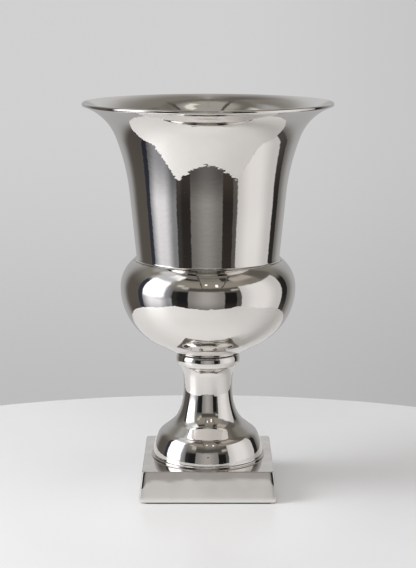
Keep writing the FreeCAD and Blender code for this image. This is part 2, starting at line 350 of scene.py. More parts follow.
def turning_tree():
    """Geometry nodes that turn an outline about Z, with hexagon flats, a thread or a ripple."""
    tree = bpy.data.node_groups.new("turned_piece", "GeometryNodeTree")
    kinds = {"Outline": "Geometry", "Columns": "Int", "Closed": "Int"}
    kinds.update(dict.fromkeys(TURNED_VALUES, "Float"), Finish="Material")
    for name, kind in kinds.items():
        tree.interface.new_socket(name, in_out="INPUT", socket_type="NodeSocket" + kind)
    tree.interface.new_socket("Piece", in_out="OUTPUT", socket_type="NodeSocketGeometry")
    nodes = Nodes(tree)
    outline = nodes.add("NodeGroupInput")

    def given(name):
        return nodes.part(outline, name)

    columns = given("Columns")
    count = nodes.add("GeometryNodeAttributeDomainSize", {"component": "MESH"}, {"Geometry": outline})
    rows = count + given("Closed")
    sheet = nodes.add("GeometryNodeMeshGrid", None, {"Vertices X": columns + 1, "Vertices Y": rows})
    index = nodes.add("GeometryNodeInputIndex")
    row = (index % rows) % count
    column = (index / rows).math("FLOOR")
    place = nodes.add("GeometryNodeInputPosition")
    sampling = {"data_type": "FLOAT_VECTOR", "domain": "POINT"}
    sampled = {"Geometry": outline, "Value": place, "Index": row}
    point = nodes.add("GeometryNodeSampleIndex", sampling, sampled)
    radius, _, height = nodes.axes(point)
    angle = column * (2 * math.pi) / columns
    sixth = math.pi / 3
    off_flat = (angle + sixth / 2) % sixth - sixth / 2
    radius = radius.math("MINIMUM", given("Flats") / 2 / off_flat.math("COSINE"))
    phase = (height / given("Thread Pitch") - column / columns) % 1.0
    groove = (phase * 2 - 1).math("ABSOLUTE") * given("Thread Depth")
    radius = radius.math("MINIMUM", given("Thread Radius") - groove)
    across = {"X": radius * angle.math("COSINE"), "Y": radius * angle.math("SINE"), "Z": height}
    turned = nodes.add("ShaderNodeCombineXYZ", None, across)
    skin = nodes.add("GeometryNodeSetPosition", None, {"Geometry": sheet, "Position": turned})
    skin = nodes.add("GeometryNodeMergeByDistance", None, {"Geometry": skin, "Distance": SEAM_GAP})
    fine = 1 / given("Ripple Size")
    waves = {"Vector": place, "W": given("Seed"), "Scale": fine, **RIPPLE_CHARACTER}
    noise = nodes.add("ShaderNodeTexNoise", {"noise_dimensions": "4D"}, waves)
    normal = nodes.add("GeometryNodeInputNormal")
    depth = {0: normal, "Scale": noise * given("Ripple") * -1}
    shift = nodes.add("ShaderNodeVectorMath", {"operation": "SCALE"}, depth)
    skin = nodes.add("GeometryNodeSetPosition", None, {"Geometry": skin, "Offset": shift})
    bent = nodes.add("GeometryNodeInputMeshEdgeAngle").math("GREATER_THAN", given("Crease"))
    smooth = {"Geometry": skin, "Shade Smooth": True}
    skin = nodes.add("GeometryNodeSetShadeSmooth", {"domain": "FACE"}, smooth)
    sharp = {"Geometry": skin, "Selection": bent, "Shade Smooth": False}
    skin = nodes.add("GeometryNodeSetShadeSmooth", {"domain": "EDGE"}, sharp)
    skin = nodes.add("GeometryNodeRealizeInstances", None, {"Geometry": skin})
    skin = nodes.add("GeometryNodeSetMaterial", None, {"Geometry": skin, "Material": given("Finish")})
    nodes.add("NodeGroupOutput", None, {"Piece": skin})
    return tree


def placed(name, data):
    """Object at the origin for a mesh, a lamp or a camera."""
    piece = bpy.data.objects.new(name, data)
    bpy.context.scene.collection.objects.link(piece)
    return piece


def made_plain(name, source):
    """Plain mesh object in place of one with modifiers."""
    graph = bpy.context.evaluated_depsgraph_get()
    mesh = bpy.data.meshes.new_from_object(source.evaluated_get(graph))
    mesh.name = name
    bpy.data.objects.remove(source)
    return placed(name, mesh)


def line_mesh(name, outline, closed):
    """Outline in millimetres as a line of vertices in the XZ plane."""
    mesh = bpy.data.meshes.new(name + "_outline")
    points = [(radius * MM, 0.0, height * MM) for radius, height in outline]
    edges = [(i, i + 1) for i in range(len(points) - 1)]
    if closed:
        edges.append((len(points) - 1, 0))
    mesh.from_pydata(points, edges, [])
    return mesh


def turned_piece(name, outline, finish, columns=CASTING_COLUMNS, closed=True, **extra):
    """Piece turned from an anticlockwise outline in (radius, height). Extra sizes are in metres."""
    values = {**TURNED_VALUES, "Columns": columns, "Closed": int(closed), "Finish": finish, **extra}
    source = placed(name + "_source", line_mesh(name, outline, closed))
    modifier = source.modifiers.new("turning", "NODES")
    modifier.node_group = TURNING
    for item in TURNING.interface.items_tree:
        if item.name in values:
            modifier[item.identifier] = values[item.name]
    return made_plain(name, source)


def settle(piece, node):
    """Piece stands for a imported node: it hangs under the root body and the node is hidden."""
    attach(piece, "root")
    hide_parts(node)


def new_material(name):
    """Empty material, its nodes, and the place on the object that its marks follow."""
    material = bpy.data.materials.new(name)
    material.use_nodes = True
    material.node_tree.nodes.clear()
    nodes = Nodes(material.node_tree)
    return material, nodes, nodes.add("ShaderNodeTexCoord", output="Object")


def finished(material, nodes, tone, rough, relief, **extra):
    """Material with a shader for its colour, roughness and relief."""
    inputs = {"Base Color": tone, "Roughness": rough, "Normal": relief, **extra}
    shader = nodes.add("ShaderNodeBsdfPrincipled", None, inputs)
    nodes.add("ShaderNodeOutputMaterial", None, {"Surface": shader})
    return material


# Range of the cloudy noise over which a colour turns into another
CLOUD_FADE = (0.3, 0.7)

# Mirror polish: colours, roughness, and the stretch, size and depth of each mark
NICKEL = (0.80, 0.775, 0.745, 1)
NICKEL_CLOUD = (0.775, 0.75, 0.72, 1)
NICKEL_CLOUD_SIZE = 0.045
NICKEL_ROUGH, NICKEL_CLOUD_ROUGH, HAIR_ROUGH = 0.008, 0.014, 0.014
DIMPLE_STRETCH, DIMPLE_SIZE, DIMPLE_DEPTH = (1.0, 1.0, 1.7), 0.0065, 0.000036
STREAK_STRETCH, STREAK_SIZE, STREAK_DEPTH = (0.06, 0.06, 0.12), 0.0035, 0.000012
HAIR_STRETCH, HAIR_SIZE, HAIR_DEPTH = (0.004, 0.004, 1.0), 0.0007, 0.0000012

# Polish residue: how far it reaches from a joint, in millimetres, its patches, colour and strength
RESIDUE_REACH = (1.1, 0.1)
RESIDUE_PATCH = 0.006
RESIDUE_PATCH_FADE = (0.25, 0.6)
RESIDUE_TONE = (0.20, 0.18, 0.16, 1)
RESIDUE_SHARE = 0.38
RESIDUE_ROUGH = 0.12

# Small pits left in the castings, as (place, radius) in millimetres, and the share that is floor
PIT_TONE = (0.03, 0.028, 0.026, 1)
PIT_DEPTH = 0.0003
PIT_FLOOR = 0.6
PIT_ROUGH = 0.5
CASTING_PITS = (
    ((0.0, -56.3, 44.6), 0.9),
    ((-72.0, -42.0, 262.0), 0.7),
    ((-86.0, -17.0, 228.0), 0.6),
    ((61.0, -63.0, 205.0), 0.5),
    ((24.0, 79.0, 300.0), 0.8),
    ((-30.0, 48.0, 52.0), 0.7),
)


def pitted(nodes, place):
    """1 in the pits of the castings, 0 elsewhere."""
    mask = 0.0
    for spot, radius in CASTING_PITS:
        away = nodes.distance(place, [value * MM for value in spot])
        mask = nodes.fade(away, radius * MM, PIT_FLOOR * radius * MM) + mask
    return mask


def in_creases(nodes, height):
    """1 in the joints between the castings, where polish leaves a dark residue."""
    mask = 0.0
    for joint in (high_mm("collar").z, low_mm("collar").z, high_mm("bowl").z, low_mm("pedestal").z):
        away = (height / MM - joint).math("ABSOLUTE")
        mask = nodes.fade(away, *RESIDUE_REACH) + mask
    return mask


def polished_casting():
    """Mirror polish, nickel toned: slight ripple, streaks down the sides, fine hairlines, a few pits."""
    material, nodes, place = new_material("polished_casting")
    across, depth, height = nodes.axes(place)
    radius = (across * across + depth * depth).math("SQRT")
    bearing = {"X": across / radius, "Y": depth / radius, "Z": height}
    facing = nodes.add("ShaderNodeCombineXYZ", None, bearing)
    streaks = nodes.noise(nodes.scaled(facing, STREAK_STRETCH), STREAK_SIZE, detail=2.0)
    hairs = nodes.noise(nodes.scaled(facing, HAIR_STRETCH), HAIR_SIZE, roughness=0.7)
    clouds = nodes.noise(place, NICKEL_CLOUD_SIZE)
    dimples = nodes.noise(nodes.scaled(place, DIMPLE_STRETCH), DIMPLE_SIZE, detail=1.0)
    pits = pitted(nodes, place)
    patches = nodes.fade(nodes.noise(place, RESIDUE_PATCH, detail=2.0), *RESIDUE_PATCH_FADE)
    residue = in_creases(nodes, height) * patches
    tone = nodes.mix(nodes.fade(clouds, *CLOUD_FADE), NICKEL, NICKEL_CLOUD)
    tone = nodes.mix(residue * RESIDUE_SHARE, tone, RESIDUE_TONE)
    tone = nodes.mix(pits, tone, PIT_TONE)
    rough = NICKEL_ROUGH + clouds * NICKEL_CLOUD_ROUGH + hairs * HAIR_ROUGH
    rough = rough + residue * RESIDUE_ROUGH + pits * PIT_ROUGH
    relief = nodes.bump(dimples, DIMPLE_DEPTH)
    relief = nodes.bump(streaks, STREAK_DEPTH, relief)
    relief = nodes.bump(hairs, HAIR_DEPTH, relief)
    relief = nodes.bump(pits, -PIT_DEPTH, relief)
    return finished(material, nodes, tone, rough, relief, Metallic=1.0)


# Satin polish: colours, roughness, and the stretch, size and depth of each mark
SATIN = (0.765, 0.741, 0.712, 1)
SATIN_CLOUD = (0.68, 0.656, 0.63, 1)
SATIN_CLOUD_SIZE = 0.03
SATIN_ROUGH, TOP_ROUGH, SATIN_CLOUD_ROUGH, RUB_ROUGH = 0.028, 0.03, 0.025, 0.015
RUB_STRETCH, RUB_SIZE, RUB_DEPTH = (0.06, 0.06, 1.0), 0.0006, 0.0000025
DENT_SIZE, DENT_DEPTH = 0.018, 0.00006

# Plinth: heights over which a painted highlight along its lower edge fades in, depths over which its
# top's finish starts
PAINTED_HIGHLIGHT_FADE = (0.0075, 0.0025)
PAINTED_HIGHLIGHT_TONE = (0.80, 0.785, 0.765, 1)
TOP_FADE = (0.0008, 0.0001)

# Slight twist of the plinth's sides about an upright axis
SIDE_TWIST = 0.00014
TWIST_AXIS = 0.05


def satin_casting():
    """Softer polish of the plinth, rubbed along its sides, duller on top, with a painted highlight along
    its lower edge.
    """
    material, nodes, place = new_material("satin_casting")
    across, _, height = nodes.axes(place)
    top = low_mm("pedestal").z * MM
    upper = nodes.fade(height, *(top - depth for depth in TOP_FADE))
    rubbed = nodes.noise(nodes.scaled(place, RUB_STRETCH), RUB_SIZE, roughness=0.7)
    clouds = nodes.noise(place, SATIN_CLOUD_SIZE)
    tone = nodes.mix(nodes.fade(clouds, *CLOUD_FADE), SATIN, SATIN_CLOUD)
    # Painted highlight: the plinth's lower edge is made paler, as if lit by the table in front of it
    tone = nodes.mix(nodes.fade(height, *PAINTED_HIGHLIGHT_FADE), tone, PAINTED_HIGHLIGHT_TONE)
    rough = SATIN_ROUGH + upper * TOP_ROUGH + clouds * SATIN_CLOUD_ROUGH + rubbed * RUB_ROUGH
    side = high_mm("plinth").x * MM * top
    relief = nodes.bump((across - TWIST_AXIS) * height / side, SIDE_TWIST)
    relief = nodes.bump(nodes.noise(place, DENT_SIZE, detail=1.0), DENT_DEPTH, relief)
    relief = nodes.bump(rubbed, RUB_DEPTH, relief)
    return finished(material, nodes, tone, rough, relief, Metallic=1.0)


# Zinc plate: two casts of colour, the spangle's cells per metre, grain and roughness
ZINC_BLUE = (0.60, 0.61, 0.64, 1)
ZINC_STRAW = (0.66, 0.64, 0.58, 1)
ZINC_CLOUD_SIZE = 0.005
ZINC_CLOUD_FADE = (0.35, 0.65)
SPANGLE_CELLS = 600.0
SPANGLE_TONE = (0.45, 0.46, 0.48, 1)
SPANGLE_SHARE = 0.25
ZINC_GRAIN, ZINC_DEPTH = 0.0008, 0.00001
ZINC_ROUGH, SPANGLE_ROUGH, ZINC_CLOUD_ROUGH = 0.24, 0.10, 0.10


def zinc_plate():
    """Zinc-plated steel: a faint spangle, a slight straw and blue cast, and a fine grain."""
    material, nodes, place = new_material("zinc_plate")
    cells = nodes.add("ShaderNodeTexVoronoi", None, {"Vector": place, "Scale": SPANGLE_CELLS}, "Color")
    grain = nodes.add("ShaderNodeSeparateColor", None, {"Color": cells})
    clouds = nodes.noise(place, ZINC_CLOUD_SIZE)
    tone = nodes.mix(nodes.fade(clouds, *ZINC_CLOUD_FADE), ZINC_BLUE, ZINC_STRAW)
    tone = nodes.mix(grain * SPANGLE_SHARE, tone, SPANGLE_TONE)
    rough = ZINC_ROUGH + grain * SPANGLE_ROUGH + clouds * ZINC_CLOUD_ROUGH
    relief = nodes.bump(nodes.noise(place, ZINC_GRAIN), ZINC_DEPTH)
    return finished(material, nodes, tone, rough, relief, Metallic=1.0)


# Rubber of the seals, and the dust that moulding leaves on it
RUBBER = (0.022, 0.022, 0.023, 1)
RUBBER_DUST = (0.065, 0.063, 0.06, 1)
DUST_SIZE = 0.002
DUST_FADE = (0.5, 0.8)
RUBBER_GRAIN, RUBBER_DEPTH = 0.0004, 0.00003
RUBBER_ROUGH, DUST_ROUGH = 0.55, 0.3


def black_rubber():
    """Matt black rubber with moulding dust."""
    material, nodes, place = new_material("black_rubber")
    dust = nodes.noise(place, DUST_SIZE, detail=4.0, roughness=0.7)
    tone = nodes.mix(nodes.fade(dust, *DUST_FADE), RUBBER, RUBBER_DUST)
    relief = nodes.bump(nodes.noise(place, RUBBER_GRAIN, detail=2.0), RUBBER_DEPTH)
    return finished(material, nodes, tone, RUBBER_ROUGH + dust * DUST_ROUGH, relief)


# Felt: colours, and two sets of fibres that cross each other
FELT_DARK = (0.030, 0.028, 0.026, 1)
FELT_PALE = (0.105, 0.098, 0.09, 1)
FELT_FADE = (0.35, 0.65)
FIBRES = (((1.0, 2.6, 1.0), 0.0006), ((2.6, 1.0, 1.0), 0.0007))
FIBRE_DEPTH = 0.00035
FELT_ROUGH = 0.95
FELT_SHEEN = {"Sheen Weight": 0.35, "Sheen Roughness": 0.6}


def pressed_felt():
    """Dark pressed felt with short tangled fibres."""
    material, nodes, place = new_material("pressed_felt")
    fibres, crossed = (
        nodes.noise(nodes.scaled(place, stretch), size, detail=4.0, roughness=0.75)
        for stretch, size in FIBRES
    )
    tangle = (fibres + crossed) / 2
    tone = nodes.mix(nodes.fade(tangle, *FELT_FADE), FELT_DARK, FELT_PALE)
    relief = nodes.bump(tangle, FIBRE_DEPTH)
    return finished(material, nodes, tone, FELT_ROUGH, relief, **FELT_SHEEN)


# Table top: half sizes and middle in metres, round at the back, and narrower and squarer in front
TABLE_HALF = Vector((0.55, 0.461))
TABLE_MIDDLE = Vector((-0.008, -0.086))
TABLE_THICKNESS = 0.03
TABLE_EDGE = 0.004
TABLE_STEPS = 256
TABLE_FRONT_POWER = 12.0
TABLE_FRONT_TAPER = 0.13

# Lacquer on the table: colours, clouds and orange peel
LACQUER = (0.802, 0.805, 0.816, 1)
LACQUER_CLOUD = (0.790, 0.793, 0.804, 1)
LACQUER_CLOUD_SIZE = 0.12
LACQUER_ROUGH, LACQUER_CLOUD_ROUGH = 0.24, 0.12
PEEL_SIZE, PEEL_DEPTH = 0.004, 0.00001

# Painted pool of light on the table before the plinth: its colour, its middle, and where it starts and is
# full
PAINTED_LIGHT_POOL = (0.890, 0.892, 0.900, 1)
PAINTED_LIGHT_POOL_MIDDLE = (0.0, -0.08, 0.0)
PAINTED_LIGHT_POOL_FADE = (0.20, 0.03)

# Painted shade under the plinth: its colour, the width of its edge and how far its corners are cut
PAINTED_SHADE_UNDER_PLINTH = (0.05, 0.05, 0.05, 1)
PAINTED_SHADE_EDGE = 0.0006
PAINTED_SHADE_CORNER = 0.008


def white_lacquer():
    """Semi-gloss white with a little orange peel, a painted pool of light before the plinth and painted
    shade under it.
    """
    material, nodes, place = new_material("white_lacquer")
    clouds = nodes.noise(place, LACQUER_CLOUD_SIZE)
    tone = nodes.mix(nodes.fade(clouds, *CLOUD_FADE), LACQUER, LACQUER_CLOUD)
    # Painted pool of light: the table is made paler round the front of the plinth
    away = nodes.distance(place, PAINTED_LIGHT_POOL_MIDDLE)
    tone = nodes.mix(nodes.fade(away, *PAINTED_LIGHT_POOL_FADE), tone, PAINTED_LIGHT_POOL)
    # Painted shade: the table is made dark under the plinth, in the gap over the pads
    across, depth, height = nodes.axes(place)
    across, depth = across.math("ABSOLUTE"), depth.math("ABSOLUTE")
    half = high_mm("plinth").x * MM
    cut_corner = across + depth + PAINTED_SHADE_CORNER - half
    aside = across.math("MAXIMUM", depth).math("MAXIMUM", cut_corner)
    upper = nodes.fade(height, -TABLE_EDGE, 0.0)
    under = nodes.fade(aside, half, half - PAINTED_SHADE_EDGE) * upper
    tone = nodes.mix(under, tone, PAINTED_SHADE_UNDER_PLINTH)
    relief = nodes.bump(nodes.noise(place, PEEL_SIZE, detail=2.0), PEEL_DEPTH)
    return finished(material, nodes, tone, LACQUER_ROUGH + clouds * LACQUER_CLOUD_ROUGH, relief)


def foot_ring(start):
    """Outline of the foot's ring and cove, with the point and heading where the foot starts."""
    cove = bend(RING_COVE, FOOT_LEAN - RING_COVE_TURN)
    return trace(start, 90, [run(RING_LAND), bend(RING_ROUND, RING_COVE_TURN), cove])


def pedestal_outline():
    """Ring, foot, stem and capital outside, the spigot on top and the hollow inside."""
    start = (PEDESTAL_RING_RADIUS, low_mm("pedestal").z)
    ring, foot, heading = foot_ring(start)
    stem_lean = FOOT_LEAN + FOOT_SKIRT_TURN + FOOT_BULGE_TURN - FOOT_SWEEP_TURN
    foot_moves = [
        bend(FOOT_SKIRT_RADIUS, FOOT_SKIRT_TURN),
        run(FOOT_SKIRT_RUN),
        bend(FOOT_BULGE_RADIUS, FOOT_BULGE_TURN),
        run(FOOT_SLOPE),
        bend(FOOT_SWEEP_RADIUS, -FOOT_SWEEP_TURN),
        bend(STEM_LOWER_RADIUS, -stem_lean),
    ]
    outer, waist, waist_heading = trace(foot, heading, foot_moves)
    lining = trace(foot, heading, foot_moves, PEDESTAL_WALL)[0]
    capital_moves = [bend(STEM_UPPER_RADIUS, -STEM_UPPER_TURN), bend(CAPITAL_RADIUS, -CAPITAL_TURN)]
    capital, top, _ = trace(waist, waist_heading, capital_moves)
    full_height = waist.y - STEM_FULL_BELOW_WAIST
    for point in outer + capital:
        away = (point.y - full_height) / STEM_FULL_REACH
        point.x += STEM_FULLNESS * math.exp(-(away**2))
    web = top.y - PEDESTAL_WEB
    spigot_top = high_mm("pedestal").z
    head = straight(
        top,
        (PEDESTAL_SPIGOT_RADIUS, top.y),
        (PEDESTAL_SPIGOT_RADIUS, spigot_top),
        (ROD_HOLE_RADIUS, spigot_top),
        (ROD_HOLE_RADIUS, web),
        (lining[-1].x, web),
        lining[-1],
    )
    skirt = straight(lining[0], (lining[0].x, start[1]), start)
    return joined(ring, outer, capital, head, lining[::-1], skirt)


def collar_outline():
    """Ring with a bowed outside and small rounded edges."""
    low, high = low_mm("collar"), high_mm("collar")
    edge = high.x - COLLAR_BOW
    bow_radius, half_turn = bow(high.z - low.z, COLLAR_BOW)
    bore = PEDESTAL_SPIGOT_RADIUS + FIT_GAP
    band = trace((edge, low.z), 90 - half_turn, [bend(bow_radius, 2 * half_turn)])[0]
    band = [p for p in band if low.z + COLLAR_EDGE < p.y < high.z - COLLAR_EDGE]
    edge_moves = [bend(COLLAR_EDGE, 90 - half_turn)]
    foot = trace((band[0].x - COLLAR_EDGE, low.z), 0, edge_moves, turn_step=ROUGH_TURN)[0]
    head = trace(band[-1], 90 + half_turn, edge_moves, turn_step=ROUGH_TURN)[0]
    head = [Vector((p.x, min(p.y, high.z))) for p in head]
    inside = straight((head[-1].x, high.z), (bore, high.z), (bore, low.z), foot[0])
    return joined(foot, band, head, inside)


def bowl_course():
    """Start, heading and moves of the bowl's outside, from its seat up to its lip."""
    seat = high_mm("collar").x - COLLAR_BOW + BOWL_SEAT_OVERHANG
    heading = 90 - BOWL_BELLY_TURN
    reach = BOWL_BELLY_RADIUS * (1 - math.sin(math.radians(heading)))
    cone = (high_mm("bowl").x - reach - seat) / math.cos(math.radians(heading))
    moves = [
        run(cone),
        bend(BOWL_BELLY_RADIUS, BOWL_BELLY_TURN),
        bend(BOWL_SHOULDER_RADIUS, BOWL_SHOULDER_TURN),
    ]
    return (seat, low_mm("bowl").z), heading, moves


def bowl_outline():
    """Round outside up to the lip, the neck with its ledge, and the hollow down to the floor."""
    start, heading, moves = bowl_course()
    seat, bottom = start
    outer, lip, _ = trace(start, heading, moves)
    lining = trace(start, heading, moves, BOWL_WALL)[0]
    neck_bore = lip.x - NECK_LAND
    ledge_bore = neck_bore - NECK_LEDGE
    neck_bottom = lip.y - NECK_DEPTH
    ledge_bottom = neck_bottom - NECK_LEDGE
    neck_outer = neck_bore + NECK_WALL
    floor = bottom + BOWL_FLOOR
    inside = [p for p in lining if p.y > floor and not (p.x < neck_outer and p.y > ledge_bottom)]
    neck = straight(
        lip,
        (neck_bore, lip.y),
        (neck_bore, neck_bottom),
        (ledge_bore, neck_bottom),
        (ledge_bore, ledge_bottom),
        (neck_outer, ledge_bottom),
        (neck_outer, inside[-1].y),
        inside[-1],
    )
    rod_hole = ((ROD_HOLE_RADIUS, floor), (ROD_HOLE_RADIUS, bottom))
    foot = straight(inside[0], (inside[0].x, floor), *rod_hole, (seat, bottom))
    return joined(outer, neck, inside[::-1], foot)


def bell_outline():
    """Flared outside up to the rim, the lining, and the spigot under the flange."""
    spigot_bottom = low_mm("bell").z
    lip = trace(*bowl_course())[1]
    flange = (lip.x - BELL_FLANGE_INSET, lip.y + BELL_FLANGE_LAND)
    foot, start, heading = trace(flange, 180, [bend(BELL_FOOT_RADIUS, -90 - BELL_LEAN)])
    moves = [
        run(BELL_WALL_RUN),
        bend(BELL_THROAT_RADIUS, -BELL_THROAT_TURN),
        bend(BELL_LIP_RADIUS, -BELL_LIP_TURN),
    ]
    outer, rim, rim_heading = trace(start, heading, moves)
    lining = trace(start, heading, moves, BELL_WALL)[0]
    bow_radius, half_turn = bow(BELL_WALL, BELL_RIM_BOW)
    edge_heading = rim_heading + 90 - half_turn
    edge = trace(rim, edge_heading, [bend(bow_radius, 2 * half_turn)], turn_step=ROUGH_TURN)[0]
    spigot = lip.x - NECK_LAND - FIT_GAP
    spigot_bore = spigot - BELL_SPIGOT_WALL
    blend = lining[0] + ahead(math.radians(heading)) * BELL_SPIGOT_BLEND
    inside = [p for p in lining if p.y > blend.y]
    tail = straight(
        blend,
        (spigot_bore, lip.y),
        (spigot_bore, spigot_bottom),
        (spigot, spigot_bottom),
        (spigot, lip.y),
        (flange[0], lip.y),
        flange,
    )
    return joined(foot, outer, edge, inside[::-1], tail)


def ring_outline(node, bore, edge):
    """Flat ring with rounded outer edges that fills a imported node's box."""
    rim = rounded_rim(node, edge)
    inside = straight(rim[-1], (bore, high_mm(node).z), (bore, low_mm(node).z), rim[0])
    return joined(rim, inside)


def nut_chamfer():
    """Radii of the nut's corners and flats, and the drop of the chamfer between them."""
    corner = NUT_FLATS / math.sqrt(3)
    flat = NUT_FLATS / 2
    return corner, flat, (corner - flat) * math.tan(math.radians(NUT_CHAMFER))


def cap_nut_outline():
    """Hexagon with a dome on it and a blind bore."""
    corner, flat, drop = nut_chamfer()
    bottom = low_mm("cap_nut").z
    bore_top = bottom + CAP_BORE_DEPTH
    hex_top = bottom + NUT_HEIGHT
    body = straight(
        (0.0, bore_top),
        (NUT_BORE_RADIUS, bore_top),
        (NUT_BORE_RADIUS, bottom),
        (corner, bottom),
        (corner, hex_top - drop),
        (flat, hex_top),
        (CAP_DOME_RADIUS, hex_top),
        (CAP_DOME_RADIUS, hex_top + CAP_DOME_LAND),
    )
    dome = trace(body[-1], 90, [bend(CAP_DOME_RADIUS, 90)], turn_step=ROUGH_TURN)[0]
    dome[-1].x = 0.0
    return joined(body, dome)


def bottom_nut_outline():
    """Hexagon that is chamfered on both faces."""
    corner, flat, drop = nut_chamfer()
    low, high = low_mm("bottom_nut").z, high_mm("bottom_nut").z
    corners = (
        (NUT_BORE_RADIUS, high),
        (NUT_BORE_RADIUS, low),
        (flat, low),
        (corner, low + drop),
        (corner, high - drop),
        (flat, high),
        (NUT_BORE_RADIUS, high),
    )
    return joined(straight(*corners))


def tie_rod_outline():
    """Rod with chamfered ends, in rows close enough for its thread."""
    low, high = low_mm("tie_rod"), high_mm("tie_rod")
    end = high.x - THREAD_DEPTH
    rows = round((high.z - low.z - 2 * THREAD_DEPTH) / THREAD_PITCH * THREAD_ROWS)
    first = Vector((high.x, low.z + THREAD_DEPTH))
    last = Vector((high.x, high.z - THREAD_DEPTH))
    thread = [first.lerp(last, step / rows) for step in range(rows + 1)]
    lower_end = [Vector((0, low.z)), Vector((end, low.z))]
    upper_end = [Vector((end, high.z)), Vector((0, high.z))]
    return joined(lower_end, thread, upper_end)


def plinth_side():
    """Half widths and heights up the plinth's side, round its lower and upper edges."""
    half, bottom = high_mm("plinth").x, low_mm("plinth").z
    top = low_mm("pedestal").z
    height = top - bottom
    lean = math.degrees(math.atan(PLINTH_DRAW_IN / height))
    bow_radius, half_turn = bow(math.hypot(height, PLINTH_DRAW_IN), PLINTH_BOW)
    edges = PLINTH_EDGE + PLINTH_FOOT_EDGE + PLINTH_ROLL_RADIUS * math.radians(PLINTH_ROLL_TURN)
    side_turn = 2 * half_turn * (1 - edges / height)
    moves = [
        bend(PLINTH_FOOT_EDGE, 90 + lean - half_turn - PLINTH_ROLL_TURN),
        bend(PLINTH_ROLL_RADIUS, PLINTH_ROLL_TURN),
        bend(bow_radius, side_turn),
        bend(PLINTH_EDGE, 90 - lean + half_turn - side_turn),
    ]
    points = trace((0.0, bottom), 0, moves, turn_step=ROUGH_TURN)[0]
    stretch = height / (points[-1].y - bottom)
    widest = max(p.x for p in points)
    return [(half - widest + p.x, bottom + (p.y - bottom) * stretch) for p in points]


def square_row(half, height, corner_scale=1.0):
    """Points round a square with the plinth's corners, anticlockwise from above."""
    bends = (PLINTH_SLOW_CORNER, PLINTH_TIGHT_CORNER, PLINTH_SLOW_CORNER)
    corner = [bend(radius * corner_scale, turn) for radius, turn in bends]
    arc, end, _ = trace((0.0, 0.0), 90, corner, turn_step=ROUGH_TURN)
    start, stop = Vector((half, end.y - half)), Vector((half, half - end.y))
    side = [start.lerp(stop, step / PLINTH_SIDE_STEPS) for step in range(1, PLINTH_SIDE_STEPS)]
    points = []
    for quarter in range(4):
        turn = Matrix.Rotation(quarter * math.pi / 2, 2)
        points += [turn @ p for p in side + [stop + p for p in arc]]
    return [Vector((x, y, height)) for x, y in points]


def round_row(radius, height, like):
    """Points on a circle, at the bearings of another row's points."""
    return [Vector((x, y, 0)).normalized() * radius + Vector((0, 0, height)) for x, y, _ in like]


def plinth_rows():
    """Rows of points up the plinth's side, over its top and down the rod's hole."""
    bottom = low_mm("plinth").z
    top = low_mm("pedestal").z
    rows = [square_row(*point) for point in plinth_side()]
    foot_start = foot_ring((PEDESTAL_RING_RADIUS, top))[1]
    register = foot_start.x - PEDESTAL_WALL * math.cos(math.radians(FOOT_LEAN)) - FIT_GAP
    inner = register - REGISTER_WALL
    register_top = top + REGISTER_HEIGHT
    rounds = (
        (register, top),
        (register, register_top),
        (inner, register_top),
        (inner, top),
        (ROD_HOLE_RADIUS, top),
        (ROD_HOLE_RADIUS, bottom),
    )
    return rows + [round_row(*place, like=rows[0]) for place in rounds]


def pad_places():
    """Packed name of each felt pad, and its place across the base in metres."""
    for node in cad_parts:
        if node.startswith("felt_pad_"):
            middle = (low_mm(node) + high_mm(node)) / 2
            yield node, Vector((middle.x, middle.y, 0.0)) * MM


def corner_discs(name, radius, bottom, top):
    """Discs at the pads' places, as one object that cuts another."""
    outline = straight((0.0, bottom), (radius, bottom), (radius, top), (0.0, top))
    disc = turned_piece(name, joined(outline), None, HARDWARE_COLUMNS, closed=False)
    points, faces = [], []
    for _, place in pad_places():
        offset = len(points)
        points += [vertex.co + place for vertex in disc.data.vertices]
        faces += [[offset + index for index in face.vertices] for face in disc.data.polygons]
    bpy.data.objects.remove(disc)
    mesh = bpy.data.meshes.new(name)
    mesh.from_pydata(points, [], faces)
    return placed(name, mesh)


def row_piece(name, rows, finish=None, scale=MM, capped=False):
    """Piece of quads from row to row of points, with capped ends or back to the first row."""
    count = len(rows[0])
    points = [p * scale for row in rows for p in row]
    last = len(points) - count
    faces = [range(count - 1, -1, -1), range(last, last + count)] if capped else []
    for level in range(len(rows) - capped):
        lower, upper = level * count, (level + 1) % len(rows) * count
        for step in range(count):
            after = (step + 1) % count
            faces.append((lower + step, lower + after, upper + after, upper + step))
    mesh = bpy.data.meshes.new(name)
    mesh.from_pydata(points, [], faces)
    if finish:
        mesh.materials.append(finish)
    return placed(name, mesh)


def cut(body, tool):
    """Body loses what the tool takes up."""
    modifier = body.modifiers.new(tool.name, "BOOLEAN")
    modifier.operation = "DIFFERENCE"
    modifier.solver = "EXACT"
    modifier.object = tool


def make_plinth(finish):
    """Square base with rounded corners, open underneath, with a post and a seat for each pad."""
    half, bottom = high_mm("plinth").x, low_mm("plinth").z
    plate = low_mm("pedestal").z - PLINTH_PLATE
    hollow_half = half - PLINTH_DRAW_IN - PLINTH_WALL
    below = bottom - PLINTH_PLATE
    hollow_rows = [square_row(hollow_half, height, HOLLOW_CORNER_SCALE) for height in (below, plate)]
    for height in (plate, below):
        hollow_rows.append(round_row(HOLLOW_CORE_RADIUS, height, hollow_rows[0]))
    hollow = row_piece("plinth_hollow", hollow_rows)
    posts = corner_discs("plinth_posts", PLINTH_POST_RADIUS, below - CUT_SPARE, plate + CUT_SPARE)
    seats = corner_discs("pad_seats", PAD_SEAT_RADIUS, below, PAD_SEAT_TOP)
    cut(hollow, posts)
    body = row_piece("plinth_body", plinth_rows(), finish)
    cut(body, hollow)
    cut(body, seats)
    piece = made_plain("plinth_casting", body)
    for tool in (hollow, posts, seats):
        bpy.data.objects.remove(tool)
    piece.data.shade_smooth()
    piece.data.set_sharp_from_angle(angle=CREASE)
    return piece


